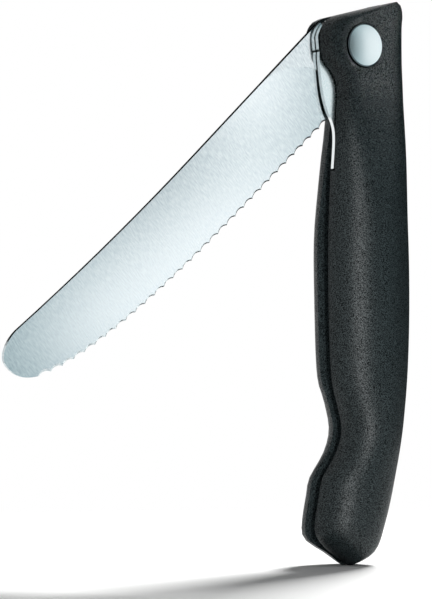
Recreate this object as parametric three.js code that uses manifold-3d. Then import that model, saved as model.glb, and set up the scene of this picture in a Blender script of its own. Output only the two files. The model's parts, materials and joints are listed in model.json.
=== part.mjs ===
import * as THREE from 'three';
import { mergeVertices } from 'three/addons/utils/BufferGeometryUtils.js';
import Module from 'manifold-3d';

// Serrated folding paring knife with a liner lock, half open with its grip upright.
// Millimetres. X runs from the cutting side to the back of the grip, Y from the near scale to the
// far scale and Z up to the pivot end. Everything is drawn round the pivot, whose axis is the Y axis.

// Grip
const slotWidth = 1.7;
const cheekHalf = 5.6;
const bellyHalf = 7.7;
const heelHalf = 7.3;
const cheekCorner = 3.2;
const cheekFlat = 1.06;
const bellyCorner = 2.05;
const heelCorner = 2.05;
const topHeight = 9.05;
const topSlope = 12;
const topFrontRadius = 5;
const topBackRadius = 3.7;
const heelDepth = 121.8;
const nearFront = { nose: 10.7, throat: 5.8, belly: 7.2, notch: 3.4, bump: 11.3 };
const farFront = { nose: 11, throat: 5, belly: 9, notch: 4.6, bump: 12.8 };
const cheekBack = 13.2;
const bellyBack = 15.65;
const holdDepth = 45;
const holdBack = 3.6;

// Blade
const bladeReach = 120;
const bladeThickness = 1.2;
const spineOffset = 9.06;
const spineStraight = 52;
const spineCrest = 69;
const spineRadius = 740;
const edgeOffset = 8.55;
const edgeFullLength = 42;
const tipRadiusLong = 7;
const tipRadiusShort = 4;
const openAngle = 48;
const foldAngle = -1;
const tangRadius = 8;
const kickLength = 12;
const kickRise = 0.5;
const shoulderBreak = 0.6;
const scallopPitch = 3.2;
const scallopDepth = 0.6;
const scallopTilt = 50;
const scallopFrom = 13.6;
const tipPlain = 6.5;
const plungeRadius = 18.5;
const groundSpine = 1.14;
const groundTip = 0.9;
const groundEdge = 0.34;

// Pivot rivet and washers
const capRadius = 5.05;
const capProud = 0.6;
const capThickness = 1.9;
const capDome = 0.14;
const capEdgeRadius = 0.25;
const barrelRadius = 2.4;
const barrelBoreRadius = 1.6;
const barrelFloor = 1.2;
const washerRadius = 6;

// Liner lock
const linerThickness = 1;
const linerRim = 1.3;
const linerFoot = 5.6;
const barRootDepth = 56;
const barBack = 1.4;
const barFrontLow = 4.2;
const barHookDepth = 29.5;
const tabReach = 10.4;
const tabSet = 4;
const lockFaceOffset = 6.5;
const lockFaceLean = 30;
const slitWidth = 0.4;
const barTravel = 0.3;
const linerNose = 10.9;
const ballRadius = 0.6;
const ballX = -5.2;
const ballZ = -7.2;

// Pins
const stopPinRadius = 1.2;
const stopPinX = 9.6;
const stopPinZ = 1.7;
const linerPinRadius = 0.9;
const linerPinDepths = [27, 49, 77];
const pinGrip = 1.4;
const spacerTop = 14;
const spacerBottom = 101;
const edgeClearance = 0.8;

// Fits
const fit = 0.3;
const runningGap = 0.1;
const reliefGap = 0.15;
const ballGap = 0.15;

const slotHalf = slotWidth / 2;
const bladeHalf = bladeThickness / 2;
const linerOuter = slotHalf + linerThickness;
const linerLength = barRootDepth + slitWidth + linerFoot;
const degree = Math.PI / 180;
const topRise = Math.tan(topSlope * degree);

const wasm = await Module();
wasm.setup();

const black = { color: 0x1d2122, roughness: 0.62, metalness: 0 };
const satinSteel = { color: 0xc9d3d6, roughness: 0.32, metalness: 1 };
const brightSteel = { color: 0xdfe6e8, roughness: 0.14, metalness: 1 };
const springSteel = { color: 0xd5dcde, roughness: 0.2, metalness: 1 };
const bronze = { color: 0xb08d57, roughness: 0.4, metalness: 1 };

function toSolid(geometry) {
  const bare = geometry.clone();
  bare.deleteAttribute('normal');
  bare.deleteAttribute('uv');
  const welded = mergeVertices(bare, 1e-4);
  return new wasm.Manifold(new wasm.Mesh({
    numProp: 3,
    vertProperties: new Float32Array(welded.attributes.position.array),
    triVerts: new Uint32Array(welded.index.array),
  }));
}

function toGeometry(solid) {
  const mesh = solid.getMesh();
  const geometry = new THREE.BufferGeometry();
  geometry.setAttribute('position', new THREE.BufferAttribute(new Float32Array(mesh.vertProperties), 3));
  geometry.setIndex(new THREE.BufferAttribute(new Uint32Array(mesh.triVerts), 1));
  geometry.computeVertexNormals();
  return geometry;
}

function cut(geometry, tools) {
  let solid = toSolid(geometry);
  for (const tool of tools) solid = solid.subtract(toSolid(tool));
  return toGeometry(solid);
}

function piece(name, geometry, look) {
  const mesh = new THREE.Mesh(geometry, new THREE.MeshStandardMaterial(look));
  mesh.name = name;
  return mesh;
}

// A flat plate whose outline is drawn in X and Z, lying between two Y values.
function plate(shape, fromY, toY, arcSteps = 12) {
  const geometry = new THREE.ExtrudeGeometry(shape, {
    depth: toY - fromY,
    bevelEnabled: false,
    curveSegments: arcSteps,
  });
  return geometry.rotateX(Math.PI / 2).translate(0, toY, 0);
}

// A round pin or ring on an axis along Y; the profile holds pairs of radius and Y.
function turned(profile, x = 0, z = 0, segments = 36) {
  const points = profile.map(([radius, y]) => new THREE.Vector2(radius, y));
  return new THREE.LatheGeometry(points, segments).translate(x, 0, z);
}

function pin(radius, fromY, toY, x, z, segments = 28) {
  return turned([[0, fromY], [radius, fromY], [radius, toY], [0, toY]], x, z, segments);
}

function ring(inner, outer, fromY, toY) {
  return turned([[inner, fromY], [outer, fromY], [outer, toY], [inner, toY], [inner, fromY]]);
}

function hole(radius, x, z) {
  const path = new THREE.Path();
  path.absarc(x, z, radius, 0, 2 * Math.PI, true);
  return path;
}

const topAt = (x) => topHeight + topRise * x;
const heelZ = -heelDepth;

function spline(pairs, count) {
  const curve = new THREE.SplineCurve(pairs.map(([x, z]) => new THREE.Vector2(x, z)));
  return curve.getPoints(count);
}

function arc(x, z, radius, fromDegrees, toDegrees, count) {
  const curve = new THREE.EllipseCurve(x, z, radius, radius, fromDegrees * degree, toDegrees * degree, fromDegrees > toDegrees);
  return curve.getPoints(count);
}

// The front edge of the grip from its lowest point up to the top of the slanted end: heel, bump,
// finger notch, belly, throat beside the lock tab, nose and the sloping top.
function frontEdge({ nose, throat, belly, notch, bump }) {
  const side = spline([
    [-1.5, heelZ],
    [-6.8, heelZ + 3.3],
    [-bump + 1.3, heelZ + 5.9],
    [-bump, heelZ + 9.2],
    [-bump + 1.4, heelZ + 17],
    [-bump + 2.3, heelZ + 20.6],
    [-notch - 1.6, heelZ + 26.5],
    [-notch, heelZ + 32],
    [-notch - 1.6, heelZ + 38.5],
    [-belly + 0.7, heelZ + 45],
    [-belly, heelZ + 62],
    [-belly, heelZ + 78],
    [-(throat + belly) / 2, -29],
    [-throat - 0.4, -19],
    [-throat, -10.2],
    [-throat - 1.7, -6.3],
    [-nose + 0.8, -3.8],
    [-nose, -0.6],
  ], 200);
  const cornerZ = topAt(-nose) - topFrontRadius;
  const corner = arc(-nose + topFrontRadius, cornerZ, topFrontRadius, 180, 90 + topSlope, 8);
  const backTop = topAt(cheekBack - topBackRadius);
  return [...side, ...corner, new THREE.Vector2(cheekBack - topBackRadius, backTop)];
}

// The back edge of the grip over the same height.
function backEdge() {
  const side = spline([
    [-1.5, heelZ],
    [4.8, heelZ + 2.9],
    [7.6, heelZ + 8],
    [bellyBack - 4.75, heelZ + 19],
    [bellyBack - 1.75, heelZ + 35],
    [bellyBack - 0.3, heelZ + 49],
    [bellyBack, heelZ + 70],
    [bellyBack - 1.15, -27],
    [cheekBack + 0.2, -11],
    [cheekBack, 0],
  ], 160);
  const centre = cheekBack - topBackRadius;
  const corner = arc(centre, topAt(centre) - topBackRadius, topBackRadius, 0, 90, 6);
  return [...side, ...corner];
}

const gripBack = backEdge();

function edgeAt(edge, z) {
  const above = edge.findIndex((point) => point.y >= z);
  if (above <= 0) return edge[above < 0 ? edge.length - 1 : 0].x;
  const [low, high] = [edge[above - 1], edge[above]];
  return THREE.MathUtils.mapLinear(z, low.y, high.y, low.x, high.x);
}

// One half of the grip: oval sections lofted up the grip from the heel, blending to a flat cheek
// round the pivot. The inner face is flat and the edge meets it square.
function gripHalf(reach) {
  const front = frontEdge(reach);
  const top = Math.min(front.at(-1).y, gripBack.at(-1).y);
  const heelRound = 9;
  const cheekEnd = -9;
  const bellyStart = -42;
  const bellyEnd = -60;
  const notchZ = -90;
  const levels = [];
  const heelSteps = 9;
  for (let k = 1; k <= heelSteps; k++) {
    levels.push(heelZ + heelRound * (1 - Math.cos(((k / heelSteps) * Math.PI) / 2)));
  }
  const climb = (steps, to) => {
    const from = levels.at(-1);
    for (let k = 1; k <= steps; k++) levels.push(THREE.MathUtils.lerp(from, to, k / steps));
  };
  climb(22, -70);
  climb(13, -18);
  climb(15, 2);
  climb(12, top - 0.04);

  const sectionSteps = 18;
  const rings = levels.map((z) => {
    const x0 = edgeAt(front, z);
    const x1 = edgeAt(gripBack, z);
    const crown = THREE.MathUtils.smoothstep(-z, -cheekEnd, -bellyStart);
    const low = THREE.MathUtils.smoothstep(-z, -bellyEnd, -notchZ);
    const full = THREE.MathUtils.lerp(cheekHalf, bellyHalf, crown) + low * (heelHalf - bellyHalf);
    const corner = THREE.MathUtils.lerp(cheekCorner, bellyCorner, crown) + low * (heelCorner - bellyCorner);
    const flat = THREE.MathUtils.lerp(cheekFlat, 1, crown);
    const up = Math.min(1, (z - heelZ) / heelRound);
    const height = (full - slotHalf) * Math.sqrt(1 - (1 - up) ** 2);
    const points = [];
    for (let k = 0; k <= sectionSteps; k++) {
      const turn = (Math.PI * k) / sectionSteps;
      const across = Math.sign(Math.cos(turn)) * Math.abs(Math.cos(turn)) ** (2 / corner);
      const rise = Math.min(1, flat * Math.abs(Math.sin(turn)) ** (2 / corner));
      const end = k === 0 || k === sectionSteps;
      const x = (x0 + x1) / 2 - (across * (x1 - x0)) / 2;
      points.push(new THREE.Vector3(x, -slotHalf - (end ? 0 : height * rise), z));
    }
    return points;
  });
  return loft(rings);
}

// Closes a stack of rings with equal point counts into one body.
function loft(rings) {
  const count = rings[0].length;
  const positions = rings.flat().flatMap((point) => point.toArray());
  const index = [];
  for (let r = 0; r + 1 < rings.length; r++) {
    for (let k = 0; k < count; k++) {
      const a = r * count + k;
      const b = r * count + ((k + 1) % count);
      index.push(a, b, b + count, a, b + count, a + count);
    }
  }
  const last = (rings.length - 1) * count;
  for (let k = 1; k + 1 < count; k++) {
    index.push(0, k + 1, k);
    index.push(last, last + k, last + k + 1);
  }
  const geometry = new THREE.BufferGeometry();
  geometry.setAttribute('position', new THREE.Float32BufferAttribute(positions, 3));
  geometry.setIndex(index);
  return geometry;
}

// Mirrors a geometry in the blade's mid-plane and keeps its faces pointing out.
function mirrored(geometry) {
  const copy = geometry.clone();
  copy.scale(1, -1, 1);
  const index = copy.index.array;
  for (let k = 0; k < index.length; k += 3) [index[k], index[k + 1]] = [index[k + 1], index[k]];
  return copy;
}

// The blade is drawn folded: it points down from the pivot with its edge towards the back of the
// grip. The cutting edge is a quarter superellipse from the straight part to the round tip.
const bladePoint = (along, across) => new THREE.Vector2(across, -along);

// The spine is straight from the tang and then a shallow arc that falls towards the tip.
function spineAcross(along) {
  const arcFrom = Math.max(along, spineStraight);
  const slope = (spineCrest - arcFrom) / spineRadius;
  return -spineOffset - (arcFrom - spineCrest) ** 2 / (2 * spineRadius) - slope * (arcFrom - along);
}

function edgeCurve() {
  const tipAcross = spineAcross(bladeReach - tipRadiusLong) + tipRadiusShort;
  const length = bladeReach - edgeFullLength;
  const height = edgeOffset - tipAcross;
  const roundness = 2 / 2.6;
  const points = [bladePoint(kickLength, edgeOffset)];
  for (let k = 0; k <= 60; k++) {
    const turn = (Math.PI / 2) * (k / 60);
    const along = edgeFullLength + length * Math.sin(turn) ** roundness;
    points.push(bladePoint(along, tipAcross + height * Math.cos(turn) ** roundness));
  }
  points[points.length - 1] = bladePoint(bladeReach, tipAcross);
  return points;
}

// Walks along a polyline and returns a point at every whole step from its start.
function stepsAlong(points, step, from, to) {
  const lengths = [0];
  for (let k = 1; k < points.length; k++) lengths.push(lengths[k - 1] + points[k].distanceTo(points[k - 1]));
  const found = [];
  for (let s = from; s <= to + 1e-6; s += step) {
    const k = Math.max(1, lengths.findIndex((length) => length >= s));
    const share = (s - lengths[k - 1]) / (lengths[k] - lengths[k - 1]);
    found.push(points[k - 1].clone().lerp(points[k], share));
  }
  return found;
}

// Tang outline: stop shoulder under the spine, round rear, flat lock face and the kick that keeps
// the edge off the spacer.
function bladeShape(edge) {
  const shoulder = stopPinZ + stopPinRadius + fit;
  const around = (angle) => bladePoint(tangRadius * Math.cos(angle * degree), tangRadius * Math.sin(angle * degree));
  const faceHalf = Math.acos(lockFaceOffset / tangRadius) / degree;
  const faceMiddle = 180 - lockFaceLean;
  const outline = [];
  const tipStart = bladeReach - tipRadiusLong;
  const spineSteps = 16;
  const spineStart = shoulder + shoulderBreak;
  outline.push(bladePoint(shoulder, -Math.sqrt(tangRadius ** 2 - shoulder ** 2)));
  outline.push(bladePoint(shoulder, spineAcross(spineStart) + shoulderBreak));
  for (let k = 0; k <= spineSteps; k++) {
    const along = spineStart + (k / spineSteps) * (tipStart - spineStart);
    outline.push(bladePoint(along, spineAcross(along)));
  }
  const tipSteps = 10;
  const tipMiddle = spineAcross(tipStart) + tipRadiusShort;
  for (let k = 1; k < tipSteps; k++) {
    const turn = (Math.PI / 2) * (k / tipSteps);
    const along = tipStart + tipRadiusLong * Math.sin(turn);
    outline.push(bladePoint(along, tipMiddle - tipRadiusShort * Math.cos(turn)));
  }
  outline.push(...[...edge].reverse());
  outline.push(bladePoint(kickLength - 0.4, edgeOffset + kickRise));
  outline.push(bladePoint(kickLength - 2.4, edgeOffset + kickRise));
  for (let angle = 66; angle < faceMiddle - faceHalf; angle += 8) outline.push(around(angle));
  outline.push(around(faceMiddle - faceHalf));
  const rearEnd = 360 - Math.asin(Math.sqrt(1 - (shoulder / tangRadius) ** 2)) / degree;
  for (let angle = faceMiddle + faceHalf; angle < rearEnd - 4; angle += 9) outline.push(around(angle));
  const shape = new THREE.Shape(outline);
  shape.holes.push(hole(barrelRadius + fit, 0, 0));
  shape.holes.push(hole(ballRadius, ballX, ballZ));
  return shape;
}

// One side's flat grind: everything beyond the curved plunge line and outside a plane that falls
// from the spine to the edge and from the plunge to the tip.
function grindTool() {
  const margin = 6;
  const centre = bladePoint(plungeRadius + 8, edgeOffset);
  const shape = new THREE.Shape();
  shape.moveTo(edgeOffset + margin, centre.y + plungeRadius);
  shape.lineTo(centre.x, centre.y + plungeRadius);
  shape.absarc(centre.x, centre.y, plungeRadius, 90 * degree, 180 * degree, false);
  shape.lineTo(-spineOffset - margin, centre.y);
  shape.lineTo(-spineOffset - margin, -bladeReach - margin);
  shape.lineTo(edgeOffset + margin, -bladeReach - margin);
  shape.closePath();
  const tool = plate(shape, -1, 0, 16);
  const width = edgeOffset + spineOffset;
  const fall = (groundSpine - groundEdge) / 2 / width;
  const taper = (groundSpine - groundTip) / 2 / bladeReach;
  const position = tool.attributes.position;
  for (let k = 0; k < position.count; k++) {
    const inner = position.getY(k) > -0.5;
    const half = groundSpine / 2 - fall * (position.getX(k) + spineOffset) + taper * position.getZ(k);
    position.setY(k, inner ? -half : -bladeThickness - 1);
  }
  return tool;
}

// Scallop cutters: round wheels that step along the edge, tilted so that the bevel lies on the near
// side and the sharp edge on the far side.
function scallopTools(edge) {
  const length = edge.slice(1).reduce((sum, point, k) => sum + point.distanceTo(edge[k]), 0);
  const cusps = stepsAlong(edge, scallopPitch, scallopFrom - kickLength, length - tipPlain);
  const tilt = scallopTilt * degree;
  const sag = scallopDepth * Math.cos(tilt);
  const wheel = scallopPitch ** 2 / (8 * sag) + sag / 2;
  const reach = (wheel - sag) / Math.cos(tilt) - (Math.tan(tilt) * groundEdge) / 2;
  return cusps.slice(1).map((end, k) => {
    const start = cusps[k];
    const chord = end.clone().sub(start).normalize();
    const outward = new THREE.Vector2(-chord.y, chord.x);
    const centre = start.clone().add(end).multiplyScalar(0.5).addScaledVector(outward, reach);
    const axis = new THREE.Vector3(chord.x, 0, chord.y);
    const tool = new THREE.CylinderGeometry(wheel, wheel, 12 * bladeThickness, 48);
    tool.applyQuaternion(new THREE.Quaternion().setFromAxisAngle(axis, tilt));
    return tool.translate(centre.x, 0, centre.y);
  });
}

function makeBlade() {
  const edge = edgeCurve();
  const near = grindTool();
  const body = plate(bladeShape(edge), -bladeHalf, bladeHalf, 18);
  return cut(body, [near, mirrored(indexed(near)), ...scallopTools(edge)]);
}

function indexed(geometry) {
  const bare = geometry.clone();
  bare.deleteAttribute('normal');
  bare.deleteAttribute('uv');
  return mergeVertices(bare, 1e-4);
}

// A line across the grip at a given distance from the pivot, square to the direction in which the
// lock face lies once the blade is open; gives Z for an X on that line.
const lean = lockFaceLean * degree;
const lockLine = (distance) => (x) => -(distance + x * Math.sin(lean)) / Math.cos(lean);
const barTop = lockLine(lockFaceOffset + fit);
const slitTop = lockLine(lockFaceOffset + fit - slitWidth);

const linerTopAt = (x) => topAt(x) - linerRim;
const linerBackTop = new THREE.Vector2(cheekBack, linerTopAt(cheekBack) - topBackRadius);

// Points up the back of the grip, which the liner and the spacer are flush with.
function backPoints(fromZ, toZ, steps) {
  const points = [];
  for (let k = 0; k <= steps; k++) {
    const z = THREE.MathUtils.lerp(fromZ, toZ, k / steps);
    points.push(new THREE.Vector2(edgeAt(gripBack, z), z));
  }
  return points;
}

// Fixed liner plate: ring round the pivot, strip behind the lock bar and the foot below its root.
function linerShape() {
  const cutX = barBack + slitWidth;
  const footFront = -barFrontLow;
  const shape = new THREE.Shape();
  shape.moveTo(-linerNose + 0.3, slitTop(-linerNose + 0.3));
  shape.lineTo(cutX, slitTop(cutX));
  shape.lineTo(cutX, -barRootDepth - slitWidth);
  shape.lineTo(footFront, -barRootDepth - slitWidth);
  shape.lineTo(footFront, -linerLength);
  for (const point of backPoints(-linerLength, linerBackTop.y, 12)) shape.lineTo(point.x, point.y);
  shape.lineTo(cheekBack - topBackRadius, linerTopAt(cheekBack - topBackRadius));
  const noseTop = -linerNose + topFrontRadius;
  shape.lineTo(noseTop, linerTopAt(noseTop));
  shape.quadraticCurveTo(-linerNose + 0.9, linerTopAt(-linerNose), -linerNose, 1.6);
  shape.closePath();
  shape.holes.push(hole(barrelRadius + fit, 0, 0));
  shape.holes.push(hole(stopPinRadius + fit, stopPinX, stopPinZ));
  for (const place of linerPinPlaces()) {
    if (place.y > -linerLength) shape.holes.push(hole(linerPinRadius + fit, place.x, place.y));
  }
  return shape;
}

// Sprung lock bar: thumb tab in the throat of the grip, then a straight strip down to its root.
function barShape() {
  const shape = new THREE.Shape();
  shape.moveTo(barBack, barTop(barBack));
  shape.lineTo(-tabReach, barTop(-tabReach));
  shape.splineThru([
    new THREE.Vector2(-tabReach, -4),
    new THREE.Vector2(-tabReach + 0.9, -10.7),
    new THREE.Vector2(-tabReach + 2.2, -15.2),
    new THREE.Vector2(-tabReach + 3.9, -18.5),
    new THREE.Vector2(-tabReach + tabSet + 0.45, -22),
    new THREE.Vector2(-tabReach + tabSet, -barHookDepth + 0.5),
  ]);
  shape.lineTo(-barFrontLow, -barHookDepth + fit);
  shape.lineTo(-barFrontLow, -barRootDepth);
  shape.lineTo(barBack, -barRootDepth);
  shape.closePath();
  shape.holes.push(hole(ballRadius + ballGap, ballX, ballZ));
  return shape;
}

// Pocket in the near scale that the liner lies in, open at the back.
const pocketOpen = bellyBack + 6;
const pocketFront = -barFrontLow - fit;
const lipBack = -tabReach + tabSet - fit;
const reliefDepth = linerOuter + barTravel + reliefGap;

function linerPocket() {
  const backTop = cheekBack - topBackRadius;
  const shape = new THREE.Shape();
  shape.moveTo(lipBack, linerTopAt(lipBack) + fit);
  shape.lineTo(lipBack, -barHookDepth);
  shape.lineTo(pocketFront, -barHookDepth);
  shape.lineTo(pocketFront, -linerLength - fit);
  shape.lineTo(pocketOpen, -linerLength - fit);
  shape.lineTo(pocketOpen, linerBackTop.y + fit);
  shape.lineTo(cheekBack + fit, linerBackTop.y + fit);
  shape.lineTo(backTop, linerTopAt(backTop) + fit);
  shape.closePath();
  return plate(shape, -linerOuter, slotHalf, 8);
}

// Deeper relief behind the lock bar, which it flexes into when it is pressed outwards.
function barRelief() {
  const right = barBack + slitWidth;
  const shape = new THREE.Shape();
  shape.moveTo(right, slitTop(right));
  shape.lineTo(lipBack, slitTop(lipBack));
  shape.lineTo(lipBack, -barHookDepth);
  shape.lineTo(pocketFront, -barHookDepth);
  shape.lineTo(pocketFront, -barRootDepth - fit);
  shape.lineTo(right, -barRootDepth - fit);
  shape.closePath();
  return plate(shape, -reliefDepth, slotHalf, 8);
}

// The relief is open at the front beside the nose of the liner and the tab.
function frontRelief() {
  const shape = new THREE.Shape();
  shape.moveTo(-pocketOpen, linerTopAt(-pocketOpen) + fit);
  shape.lineTo(-pocketOpen, -barHookDepth);
  shape.lineTo(lipBack, -barHookDepth);
  shape.lineTo(lipBack, linerTopAt(lipBack) + fit);
  shape.closePath();
  return plate(shape, -reliefDepth, slotHalf, 8);
}

// The cutting edge once the blade is folded, from the tip up.
const pivot = new THREE.Vector2();
const foldedEdge = edgeCurve().reverse().map((point) => point.rotateAround(pivot, -foldAngle * degree));
const spacerFrontAt = (z) => edgeAt(foldedEdge, z) + edgeClearance;

function linerPinPlaces() {
  return linerPinDepths.map((depth) => {
    const x = (spacerFrontAt(-depth) + edgeAt(gripBack, -depth)) / 2;
    return new THREE.Vector2(x, -depth);
  });
}

// Back spacer: its inner side follows the folded edge at a clearance.
function spacerShape() {
  const back = backPoints(-spacerBottom, -spacerTop, 18);
  const front = back.map((point) => new THREE.Vector2(spacerFrontAt(point.y), point.y));
  const shape = new THREE.Shape([...back, ...front.reverse()]);
  for (const place of linerPinPlaces()) shape.holes.push(hole(linerPinRadius + fit, place.x, place.y));
  return shape;
}

const capSeat = cheekHalf + capProud - capThickness;
const pinEnd = linerOuter + pinGrip;

// Holes that both scales share, cut from a half drawn on the near side.
function scaleTools() {
  const deep = cheekHalf + 3;
  const tools = [
    pin(barrelRadius + fit, -deep, 0, 0, 0, 40),
    pin(capRadius + fit, -deep, -capSeat, 0, 0, 44),
    pin(stopPinRadius + fit, -pinEnd - fit, 0, stopPinX, stopPinZ),
  ];
  for (const place of linerPinPlaces()) {
    tools.push(pin(linerPinRadius + fit, -pinEnd - fit, 0, place.x, place.y));
  }
  return tools;
}

function makeNearScale() {
  return cut(gripHalf(nearFront), [...scaleTools(), linerPocket(), barRelief(), frontRelief()]);
}

function makeFarScale() {
  return mirrored(cut(gripHalf(farFront), scaleTools()));
}

// Rivet head: a low dome with a rounded rim, standing a little proud of the cheek.
function headProfile(face, seat) {
  const out = Math.sign(face);
  const rim = face - out * capDome;
  const points = [[0, face]];
  const domeSteps = 3;
  const flatRadius = capRadius - capEdgeRadius;
  for (let k = 1; k <= domeSteps; k++) {
    const r = (flatRadius * k) / domeSteps;
    points.push([r, face - out * capDome * (r / flatRadius) ** 2]);
  }
  const rimSteps = 3;
  for (let k = 1; k <= rimSteps; k++) {
    const turn = (k / rimSteps) * 90 * degree;
    points.push([flatRadius + capEdgeRadius * Math.sin(turn), rim - out * capEdgeRadius * (1 - Math.cos(turn))]);
  }
  points.push([capRadius, seat]);
  return points;
}

function makePivotCap() {
  const pinRadius = barrelBoreRadius - fit;
  const tip = capSeat - barrelFloor;
  const profile = [...headProfile(-cheekHalf - capProud, -capSeat), [pinRadius, -capSeat], [pinRadius, tip], [0, tip]];
  return turned(profile, 0, 0, 44);
}

function makePivotBarrel() {
  const mouth = -capSeat + fit;
  const bottom = capSeat - barrelFloor + fit;
  const profile = [...headProfile(cheekHalf + capProud, capSeat), [barrelRadius, capSeat], [barrelRadius, mouth],
    [barrelBoreRadius, mouth], [barrelBoreRadius, bottom], [0, bottom]];
  return turned(profile.reverse(), 0, 0, 44);
}

const bladeGroup = new THREE.Group();
bladeGroup.add(piece('blade', makeBlade(), satinSteel));
bladeGroup.rotation.y = openAngle * degree;

const washerInner = bladeHalf + runningGap;
const lockBar = plate(barShape(), -linerOuter, -slotHalf, 10);
const ballY = -bladeHalf - ballGap - ballRadius;
const ball = new THREE.SphereGeometry(ballRadius, 16, 10).translate(ballX, ballY, ballZ);

const knife = new THREE.Group();
knife.add(
  bladeGroup,
  piece('near_scale', makeNearScale(), black),
  piece('far_scale', makeFarScale(), black),
  piece('back_spacer', plate(spacerShape(), -slotHalf, slotHalf), black),
  piece('lock_liner', plate(linerShape(), -linerOuter, -slotHalf), springSteel),
  piece('lock_bar', lockBar, springSteel),
  piece('detent_ball', ball, brightSteel),
  piece('pivot_cap', makePivotCap(), brightSteel),
  piece('pivot_barrel', makePivotBarrel(), brightSteel),
  piece('near_washer', ring(barrelRadius + fit, washerRadius, -slotHalf, -washerInner), bronze),
  piece('far_washer', ring(barrelRadius + fit, washerRadius, washerInner, slotHalf), bronze),
  piece('stop_pin', pin(stopPinRadius, -pinEnd, pinEnd, stopPinX, stopPinZ), brightSteel),
);
linerPinPlaces().forEach((place, k) => {
  knife.add(piece(`liner_pin_${k + 1}`, pin(linerPinRadius, -pinEnd, pinEnd, place.x, place.y), brightSteel));
});

// The origin is where the hand holds the knife, in the middle of the grip's belly.
knife.position.set(-holdBack, 0, holdDepth);

export default knife;
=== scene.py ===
import json
import math
import bpy
from mathutils import Euler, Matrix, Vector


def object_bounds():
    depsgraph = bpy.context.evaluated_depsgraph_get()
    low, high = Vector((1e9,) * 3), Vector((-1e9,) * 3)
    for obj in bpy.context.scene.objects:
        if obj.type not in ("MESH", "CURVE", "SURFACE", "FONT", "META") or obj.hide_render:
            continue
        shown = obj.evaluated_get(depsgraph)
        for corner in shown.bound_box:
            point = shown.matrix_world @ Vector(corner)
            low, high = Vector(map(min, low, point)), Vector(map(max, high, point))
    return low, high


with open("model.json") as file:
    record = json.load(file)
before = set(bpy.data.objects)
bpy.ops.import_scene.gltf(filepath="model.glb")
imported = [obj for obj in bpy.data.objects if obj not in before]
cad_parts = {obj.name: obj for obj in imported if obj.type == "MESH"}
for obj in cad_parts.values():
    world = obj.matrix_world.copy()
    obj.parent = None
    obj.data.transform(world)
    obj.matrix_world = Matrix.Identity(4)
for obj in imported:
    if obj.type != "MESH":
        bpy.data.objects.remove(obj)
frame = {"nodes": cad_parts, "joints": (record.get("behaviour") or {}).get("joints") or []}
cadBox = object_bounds()
nodes = frame["nodes"]
bladeJoint = next(joint for joint in frame["joints"] if joint["name"] == "blade_pivot")
print("knife loaded:", len(nodes), "pieces")


def toLinear(hexColour):
    channels = [int(hexColour[k:k + 2], 16) / 255 for k in (1, 3, 5)]
    return [c / 12.92 if c <= 0.04045 else ((c + 0.055) / 1.055) ** 2.4 for c in channels] + [1.0]


def addNode(tree, kind, values=None, links=None, **settings):
    node = tree.nodes.new(kind)
    for name, value in settings.items():
        setattr(node, name, value)
    for name, value in (values or {}).items():
        node.inputs[name].default_value = value
    for name, socket in (links or {}).items():
        tree.links.new(socket, node.inputs[name])
    return node


def startMaterial(name):
    material = bpy.data.materials.new(name)
    material.use_nodes = True
    tree = material.node_tree
    return material, tree, tree.nodes["Principled BSDF"]


def perMetre(millimetres):
    return 1000 / millimetres  # texture scale for a pattern of that size, in object space


def dress(material, *names):
    for name in names:
        mesh = nodes[name].data
        mesh.materials.clear()
        mesh.materials.append(material)


# Black polypropylene, moulded in a spark-eroded tool: an even, dull, sand-like grain that breaks
# every reflection into a soft sheen along the crown of the grip.
grip = {
    "valley": "#07090a",
    "peak": "#2c3638",
    "grainSize": 0.19,       # mm across one bump of the grain
    "grainHeight": 0.035,    # mm
    "flowSize": 9,           # mm, slow change of gloss left by the moulding
    "grainBand": (0.38, 0.62),  # noise values of a pit and of a peak
    "flowBand": (0.3, 0.7),
    "roughness": (0.35, 0.43),
    "specular": (0.01, 0.46),   # little from the pits of the grain, most from its peaks
}


def mouldedPolypropylene():
    material, tree, shader = startMaterial("Polypropylene, spark-eroded mould grain")
    place = addNode(tree, "ShaderNodeTexCoord").outputs["Object"]
    grain = addNode(tree, "ShaderNodeTexNoise",
                    {"Scale": perMetre(grip["grainSize"]), "Detail": 1, "Roughness": 0.5},
                    {"Vector": place})
    flow = addNode(tree, "ShaderNodeTexNoise", {"Scale": perMetre(grip["flowSize"]), "Detail": 2},
                   {"Vector": place})
    tint = addNode(tree, "ShaderNodeValToRGB", links={"Fac": grain.outputs["Fac"]})
    tint.color_ramp.elements[0].position = grip["grainBand"][0]
    tint.color_ramp.elements[0].color = toLinear(grip["valley"])
    tint.color_ramp.elements[1].position = grip["grainBand"][1]
    tint.color_ramp.elements[1].color = toLinear(grip["peak"])
    gloss = addNode(tree, "ShaderNodeMapRange",
                    {"From Min": grip["flowBand"][0], "From Max": grip["flowBand"][1],
                     "To Min": grip["roughness"][0], "To Max": grip["roughness"][1]},
                    {"Value": flow.outputs["Fac"]})
    pits = addNode(tree, "ShaderNodeMapRange",
                   {"From Min": grip["grainBand"][0], "From Max": grip["grainBand"][1],
                    "To Min": grip["specular"][0], "To Max": grip["specular"][1]},
                   {"Value": grain.outputs["Fac"]})
    bump = addNode(tree, "ShaderNodeBump", {"Strength": 1, "Distance": grip["grainHeight"] / 1000},
                   {"Height": grain.outputs["Fac"]})
    tree.links.new(tint.outputs["Color"], shader.inputs["Base Color"])
    tree.links.new(gloss.outputs["Result"], shader.inputs["Roughness"])
    tree.links.new(pits.outputs["Result"], shader.inputs["Specular IOR Level"])
    tree.links.new(bump.outputs["Normal"], shader.inputs["Normal"])
    return material


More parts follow.
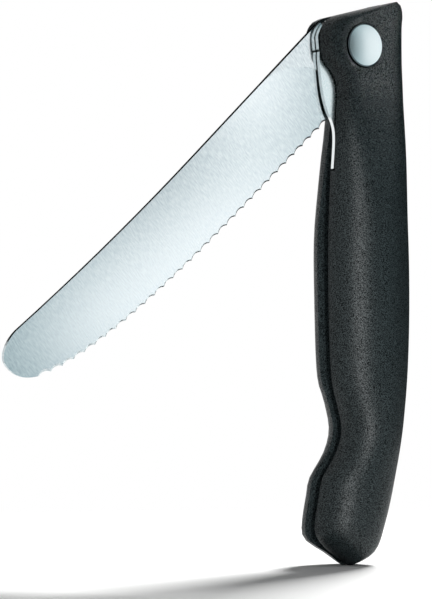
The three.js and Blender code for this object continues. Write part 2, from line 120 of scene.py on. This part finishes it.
# Stainless blade steel. The ground faces are fine satin with grinding lines across the blade, which
# spread a reflection into a soft band; the tang keeps a polish that the grinding doesn't reach.
blade = {
    "steel": "#d2dadc",
    "worn": "#b2bec3",
    "lineWidth": 0.3,        # mm between grinding lines, coarser than the real ones so that they show
    "lineLength": 1.6,       # mm
    "lineHeight": 0.0006,    # mm
    "lineBand": (0.38, 0.62),   # noise values of a groove and of a ridge
    "satin": (0.13, 0.17),
    "polish": 0.17,
    "tangHalf": 0.585,       # mm from the mid-plane: beyond it the face is the unground tang
    "openAngle": 48,         # degrees that the blade is turned out of the grip
}


def groundBladeSteel():
    material, tree, shader = startMaterial("Stainless steel, satin ground with polished tang")
    place = addNode(tree, "ShaderNodeTexCoord").outputs["Object"]
    along = addNode(tree, "ShaderNodeVectorRotate", {"Angle": math.radians(-blade["openAngle"])},
                    {"Vector": place}, rotation_type="Y_AXIS")
    stretch = addNode(tree, "ShaderNodeVectorMath",
                      {1: (perMetre(blade["lineLength"]), 0, perMetre(blade["lineWidth"]))},
                      {0: along.outputs["Vector"]}, operation="MULTIPLY")
    lines = addNode(tree, "ShaderNodeTexNoise", {"Scale": 1, "Detail": 4, "Roughness": 0.65},
                    {"Vector": stretch.outputs["Vector"]})
    parts = addNode(tree, "ShaderNodeSeparateXYZ", links={"Vector": place})
    half = addNode(tree, "ShaderNodeMath", links={0: parts.outputs["Y"]}, operation="ABSOLUTE")
    tang = addNode(tree, "ShaderNodeMath", {1: blade["tangHalf"] / 1000}, {0: half.outputs["Value"]},
                   operation="GREATER_THAN")
    satin = addNode(tree, "ShaderNodeMapRange",
                    {"From Min": blade["lineBand"][0], "From Max": blade["lineBand"][1],
                     "To Min": blade["satin"][0], "To Max": blade["satin"][1]},
                    {"Value": lines.outputs["Fac"]})
    gloss = addNode(tree, "ShaderNodeMix", {"B": blade["polish"]},
                    {"Factor": tang.outputs["Value"], "A": satin.outputs["Result"]}, data_type="FLOAT")
    tint = addNode(tree, "ShaderNodeValToRGB", links={"Fac": lines.outputs["Fac"]})
    tint.color_ramp.elements[0].position = blade["lineBand"][0]
    tint.color_ramp.elements[0].color = toLinear(blade["worn"])
    tint.color_ramp.elements[1].position = blade["lineBand"][1]
    tint.color_ramp.elements[1].color = toLinear(blade["steel"])
    bump = addNode(tree, "ShaderNodeBump", {"Strength": 1, "Distance": blade["lineHeight"] / 1000},
                   {"Height": lines.outputs["Fac"]})
    tree.links.new(tint.outputs["Color"], shader.inputs["Base Color"])
    tree.links.new(gloss.outputs["Result"], shader.inputs["Roughness"])
    tree.links.new(bump.outputs["Normal"], shader.inputs["Normal"])
    shader.inputs["Metallic"].default_value = 1
    return material


# Polished hard metals: a clean bright reflection that small scratches and handling soften a little.
# The rivet's rim is painted darker: a painted shade that stands for the dark line round the head.
brightSteels = {
    "Spring steel, tumbled and polished": {
        "steel": "#eef3f4", "gloss": (0.24, 0.28), "scratch": 0.2,    # mm
        "pieces": ["lock_liner", "lock_bar"],
    },
    "Stainless rivet, turned and polished": {
        "steel": "#d6e0e2", "gloss": (0.17, 0.19), "scratch": 0.15,
        # painted shade: the rim colour darkens the outer ring of the head
        "rim": "#59666a", "rimFrom": 4.7, "rimFull": 4.85,    # mm from the axis
        "pieces": ["pivot_cap", "pivot_barrel"],
    },
    "Steel pin and ball, bright drawn": {
        "steel": "#d2d8da", "gloss": (0.16, 0.24), "scratch": 0.4,
        "pieces": ["stop_pin", "liner_pin_1", "liner_pin_2", "liner_pin_3", "detent_ball"],
    },
    "Phosphor bronze, lapped": {
        "steel": "#b98d52", "gloss": (0.24, 0.34), "scratch": 0.3,
        "pieces": ["near_washer", "far_washer"],
    },
}
wearBand = (0.3, 0.7)    # noise values of the least and the most worn spots
acrossAxis = (1, 0, 1)   # keeps what lies across the rivet's axis


def polishedMetal(name, look):
    material, tree, shader = startMaterial(name)
    place = addNode(tree, "ShaderNodeTexCoord").outputs["Object"]
    wear = addNode(tree, "ShaderNodeTexNoise",
                   {"Scale": perMetre(look["scratch"]), "Detail": 4, "Roughness": 0.7}, {"Vector": place})
    gloss = addNode(tree, "ShaderNodeMapRange",
                    {"From Min": wearBand[0], "From Max": wearBand[1],
                     "To Min": look["gloss"][0], "To Max": look["gloss"][1]},
                    {"Value": wear.outputs["Fac"]})
    tree.links.new(gloss.outputs["Result"], shader.inputs["Roughness"])
    shader.inputs["Base Color"].default_value = toLinear(look["steel"])
    shader.inputs["Metallic"].default_value = 1
    # Painted shade: the base colour darkens towards the head's rim, by distance from the rivet's axis.
    if "rim" in look:
        centred = addNode(tree, "ShaderNodeVectorMath", {1: bladeJoint["pos_m"]}, {0: place},
                          operation="SUBTRACT")
        level = addNode(tree, "ShaderNodeVectorMath", {1: acrossAxis}, {0: centred.outputs["Vector"]},
                        operation="MULTIPLY")
        radius = addNode(tree, "ShaderNodeVectorMath", links={0: level.outputs["Vector"]},
                         operation="LENGTH")
        painted_rim_shade = addNode(tree, "ShaderNodeMapRange",
                        {"From Min": look["rimFrom"] / 1000, "From Max": look["rimFull"] / 1000},
                        {"Value": radius.outputs["Value"]}, interpolation_type="SMOOTHSTEP")
        tint = addNode(tree, "ShaderNodeMix", {"A": toLinear(look["steel"]), "B": toLinear(look["rim"])},
                       {"Factor": painted_rim_shade.outputs["Result"]}, data_type="RGBA")
        tree.links.new(tint.outputs["Result"], shader.inputs["Base Color"])
    return material


dress(mouldedPolypropylene(), "near_scale", "far_scale", "back_spacer")
dress(groundBladeSteel(), "blade")
for name, look in brightSteels.items():
    dress(polishedMetal(name, look), *look["pieces"])
print("materials on", sum(len(piece.data.materials) for piece in nodes.values()), "pieces")

# The moulded and turned pieces come as flat facets: their round stretches are shaded as one smooth
# surface, and a corner as steep as a real edge stays sharp. The ground blade keeps its true planes.
rounding = {
    "weld": 0.001,           # mm, joins the corners that neighbouring facets share
    "realEdge": 20,          # degrees between two facets
    "leave": ["blade"],
}


def smoothFacets():
    tree = bpy.data.node_groups.new("smooth_facets", "GeometryNodeTree")
    tree.interface.new_socket("Geometry", in_out="INPUT", socket_type="NodeSocketGeometry")
    tree.interface.new_socket("Geometry", in_out="OUTPUT", socket_type="NodeSocketGeometry")
    facets = addNode(tree, "NodeGroupInput")
    welded = addNode(tree, "GeometryNodeMergeByDistance", {"Distance": rounding["weld"] / 1000},
                     {"Geometry": facets.outputs["Geometry"]})
    plain = addNode(tree, "GeometryNodeRemoveAttribute", {"Name": "custom_normal"},
                    {"Geometry": welded.outputs["Geometry"]})
    rounded = addNode(tree, "GeometryNodeSetShadeSmooth", {"Shade Smooth": True},
                      {"Geometry": plain.outputs["Geometry"]}, domain="FACE")
    angle = addNode(tree, "GeometryNodeInputMeshEdgeAngle")
    edge = addNode(tree, "FunctionNodeCompare", {"B": math.radians(rounding["realEdge"])},
                   {"A": angle.outputs["Unsigned Angle"]}, operation="GREATER_THAN")
    edged = addNode(tree, "GeometryNodeSetShadeSmooth", {"Shade Smooth": False},
                    {"Geometry": rounded.outputs["Geometry"], "Selection": edge.outputs["Result"]},
                    domain="EDGE")
    addNode(tree, "NodeGroupOutput", links={"Geometry": edged.outputs["Geometry"]})
    for name, piece in nodes.items():
        if name not in rounding["leave"]:
            piece.modifiers.new("smooth_facets", "NODES").node_group = tree
            weighted = piece.modifiers.new("flat_stays_flat", "WEIGHTED_NORMAL")
            weighted.keep_sharp = True


smoothFacets()
print("facets smoothed on", len(nodes) - len(rounding["leave"]), "pieces")

# Pale studio paper under the heel; it fades out into the white surround.
floor = {
    "paper": "#f7f7f6",
    "fibre": 1.5,            # mm
    "fibreHeight": 0.1,      # mm
    "fibreStrength": 0.05,
    "roughness": 0.9,
    "sides": 96,
    "radius": 0.3,           # m
    "fadeFrom": 0.12,        # m
}


def makeFloor():
    bpy.ops.mesh.primitive_circle_add(vertices=floor["sides"], radius=floor["radius"], fill_type="NGON")
    paper = bpy.context.object
    paper.name = "studio_paper"
    paper.location.z = cadBox[0].z
    material, tree, shader = startMaterial("Studio paper, matt")
    place = addNode(tree, "ShaderNodeTexCoord").outputs["Object"]
    fibre = addNode(tree, "ShaderNodeTexNoise", {"Scale": perMetre(floor["fibre"]), "Detail": 2},
                    {"Vector": place})
    bump = addNode(tree, "ShaderNodeBump",
                   {"Strength": floor["fibreStrength"], "Distance": floor["fibreHeight"] / 1000},
                   {"Height": fibre.outputs["Fac"]})
    distance = addNode(tree, "ShaderNodeVectorMath", links={0: place}, operation="LENGTH")
    fade = addNode(tree, "ShaderNodeMapRange",
                   {"From Min": floor["fadeFrom"], "From Max": floor["radius"], "To Min": 1, "To Max": 0},
                   {"Value": distance.outputs["Value"]}, interpolation_type="SMOOTHSTEP")
    tree.links.new(bump.outputs["Normal"], shader.inputs["Normal"])
    tree.links.new(fade.outputs["Result"], shader.inputs["Alpha"])
    shader.inputs["Base Color"].default_value = toLinear(floor["paper"])
    shader.inputs["Roughness"].default_value = floor["roughness"]
    shader.inputs["Specular IOR Level"].default_value = 0
    paper.data.materials.append(material)


makeFloor()

# White studio surround. Its side in front of the knife is duller and cooler, but only in reflections:
# the flat steel mirrors it, and the camera sees white all round.
surround = {
    "white": "#ffffff",
    "front": "#b5ccd1",
    "frontTowards": (0.57, -0.82, 0.05),
    "frontFrom": 0.4,        # cosine from that direction where the tone starts
    "frontFull": 0.78,
    "fill": "#3e4041",       # the light that it gives to dull surfaces
}


def makeSurround():
    world = bpy.data.worlds.new("studio")
    bpy.context.scene.world = world
    world.use_nodes = True
    tree = world.node_tree
    tree.nodes.clear()
    direction = addNode(tree, "ShaderNodeTexCoord").outputs["Generated"]
    facing = addNode(tree, "ShaderNodeVectorMath", {1: surround["frontTowards"]}, {0: direction},
                     operation="DOT_PRODUCT")
    share = addNode(tree, "ShaderNodeMapRange",
                    {"From Min": surround["frontFrom"], "From Max": surround["frontFull"]},
                    {"Value": facing.outputs["Value"]}, interpolation_type="SMOOTHSTEP")
    path = addNode(tree, "ShaderNodeLightPath")
    mirrored = addNode(tree, "ShaderNodeMath",
                       links={0: share.outputs["Result"], 1: path.outputs["Is Glossy Ray"]},
                       operation="MULTIPLY")
    walls = addNode(tree, "ShaderNodeMix",
                    {"A": toLinear(surround["white"]), "B": toLinear(surround["front"])},
                    {"Factor": mirrored.outputs["Value"]}, data_type="RGBA")
    seen = addNode(tree, "ShaderNodeMath",
                   links={0: path.outputs["Is Camera Ray"], 1: path.outputs["Is Glossy Ray"]},
                   operation="MAXIMUM")
    shown = addNode(tree, "ShaderNodeMath",
                    links={0: seen.outputs["Value"], 1: path.outputs["Is Transmission Ray"]},
                    operation="MAXIMUM")
    colour = addNode(tree, "ShaderNodeMix", {"A": toLinear(surround["fill"])},
                     {"Factor": shown.outputs["Value"], "B": walls.outputs["Result"]}, data_type="RGBA")
    light = addNode(tree, "ShaderNodeBackground", {"Strength": 1}, {"Color": colour.outputs["Result"]})
    addNode(tree, "ShaderNodeOutputWorld", links={"Surface": light.outputs["Background"]})


makeSurround()

# Flags that only reflections show, corners and heights in metres: black ones right of the knife for the
# grip's back and behind it for the blade's spine, and a grey one in front for the left of the rivet head.
# The head flag isn't seen at all: it keeps the grip strip's light off the cheek.
flags = {
    "right_flag": {"cloth": "#181b1c", "corners": [(0.3, -0.2), (0.3, 0.25)], "low": -0.3, "high": 0.35},
    "top_flag": {"cloth": "#181b1c", "corners": [(0.3, 0.7), (-0.3, 0.7)], "low": 0.2, "high": 0.8},
    "rivet_flag": {"cloth": "#768f95", "corners": [(0.2, -1.5), (0.96, -1.5)], "low": 0.1, "high": 0.42},
    "head_flag": {"cloth": "#181b1c", "corners": [(-0.03, -0.03), (0.012, -0.03)],
                  "low": 0.024, "high": 0.075, "shades": "grip_strip"},
}


def makeFlags():
    for name, flag in flags.items():
        corners = [(x, y, z) for z in (flag["low"], flag["high"]) for x, y in flag["corners"]]
        mesh = bpy.data.meshes.new(name)
        mesh.from_pydata(corners, [], [(0, 1, 3, 2)])
        card = bpy.data.objects.new(name, mesh)
        bpy.context.scene.collection.objects.link(card)
        material, _, shader = startMaterial("Flag cloth, matt")
        shader.inputs["Base Color"].default_value = toLinear(flag["cloth"])
        shader.inputs["Roughness"].default_value = 1
        shader.inputs["Specular IOR Level"].default_value = 0
        mesh.materials.append(material)
        card.visible_camera = False
        card.visible_diffuse = False
        card.visible_glossy = "shades" not in flag
        card.visible_shadow = "shades" in flag
        card.visible_transmission = False


makeFlags()

# Soft boxes: place, target and size in metres, power in watts, roll and spread in degrees. Each one but
# the overhead lights only the pieces that it is set up for, as snoots would do in a studio.
plainLamp = {"roll": 0, "glow": "#ffffff", "spread": 180}
lamps = {
    "grip_strip": {"place": (-0.031, -0.26, -0.025), "target": (0, 0, -0.025), "size": (0.047, 0.16),
                   "power": 0.4,
                   "lights": ["near_scale", "far_scale", "back_spacer", "lock_liner", "lock_bar"]},
    "cheek_card": {"place": (0.22, -0.24, 0.02), "target": (0.003, -0.006, 0.048), "size": (0.03, 0.03),
                   "power": 0.002, "spread": 10, "lights": ["near_scale"]},
    "slot_fill": {"place": (-0.4, -0.5, 0.02), "target": (-0.01, 0, -0.02), "size": (0.1, 0.2),
                  "power": 1, "lights": ["far_scale", "back_spacer"]},
    "blade_strip": {"place": (1.012, -1.5, 0.025), "target": (-0.045, 0, 0), "size": (0.07, 0.28),
                    "roll": -50, "power": 0.165, "glow": "#ffeeea", "lights": ["blade"]},
    "tang_strip": {"place": (1.076, -1.5, 0.25), "target": (-0.01, 0, 0.03), "size": (0.05, 0.19),
                   "roll": 7, "power": 0.137, "glow": "#ffeeea", "lights": ["blade"]},
    "tab_card": {"place": (1.11, -1.5, 0.25), "target": (-0.01, 0, 0.03), "size": (0.5, 0.5),
                 "power": 0.6, "glow": "#fff6f4", "lights": ["lock_liner", "lock_bar"]},
    "rivet_card": {"place": (1.465, -1.5, 0.3), "target": (0, 0, 0.04), "size": (0.6, 0.5),
                   "power": 0.78, "glow": "#ffece8", "lights": ["pivot_cap"]},
    "back_strip": {"place": (0.35, 0.42, 0), "target": (0, 0, -0.02), "size": (0.12, 0.3),
                   "power": 1.2, "lights": ["far_scale"]},
    "overhead": {"place": (0, 0.02, 0.95), "target": (0, 0, -0.08), "size": (0.28, 0.28), "power": 0.7},
    "floor_key": {"place": (0.64, 0.41, 0.69), "target": (0, 0, -0.07), "size": (0.24, 0.24),
                  "power": 18, "lights": ["studio_paper"]},
    "floor_fill": {"place": (-0.4, -0.35, 0.45), "target": (0, 0, -0.07), "size": (0.3, 0.3),
                   "power": 0.6, "lights": ["studio_paper"]},
}


def makeLamps():
    knife = bpy.data.collections.new("knife_shadow")  # all that throws a shadow, but for the head flag
    for piece in nodes.values():
        knife.objects.link(piece)
    shaded = [flag["shades"] for flag in flags.values() if "shades" in flag]
    for name, setup in lamps.items():
        lamp = plainLamp | setup
        data = bpy.data.lights.new(name, "AREA")
        data.shape = "RECTANGLE"
        data.size, data.size_y = lamp["size"]
        data.energy = lamp["power"]
        data.color = toLinear(lamp["glow"])[:3]
        data.spread = math.radians(lamp["spread"])
        light = bpy.data.objects.new(name, data)
        bpy.context.scene.collection.objects.link(light)
        light.location = lamp["place"]
        light.visible_camera = False
        towards = [t - p for t, p in zip(lamp["target"], lamp["place"])]
        yaw = math.atan2(towards[0], towards[1])
        level = math.hypot(towards[0], towards[1])
        aim = Euler((math.pi / 2 + math.atan2(towards[2], level), 0, -yaw)).to_matrix()
        roll = Euler((0, 0, math.radians(lamp["roll"]))).to_matrix()
        light.rotation_euler = (aim @ roll).to_euler()
        if "lights" in lamp:
            lit = bpy.data.collections.new(name + "_lights")
            for piece in lamp["lights"]:
                lit.objects.link(bpy.data.objects[piece])
            light.light_linking.receiver_collection = lit
        if name not in shaded:
            light.light_linking.blocker_collection = knife


makeLamps()

# The photograph's view: a long lens a little below the middle of the knife, looking slightly up.
view = {
    "fromPivot": (-0.3788, -0.4952, -0.0812),   # m
    "azimuth": -34.5,
    "elevation": -2.0,
    "lens": 159.1,           # mm
    "frameWidth": 36,        # mm
    "nearest": 0.01,         # m
}


def makeCamera():
    data = bpy.data.cameras.new("photo_view")
    data.sensor_width = view["frameWidth"]
    data.lens = view["lens"]
    data.clip_start = view["nearest"]
    camera = bpy.data.objects.new("photo_view", data)
    bpy.context.scene.collection.objects.link(camera)
    camera.location = [p + q for p, q in zip(bladeJoint["pos_m"], view["fromPivot"])]
    camera.rotation_euler = (math.radians(90 - view["elevation"]), 0, math.radians(view["azimuth"]))
    bpy.context.scene.camera = camera


makeCamera()
bpy.context.scene.view_settings.view_transform = "Standard"
print("stage, lamps and camera set")
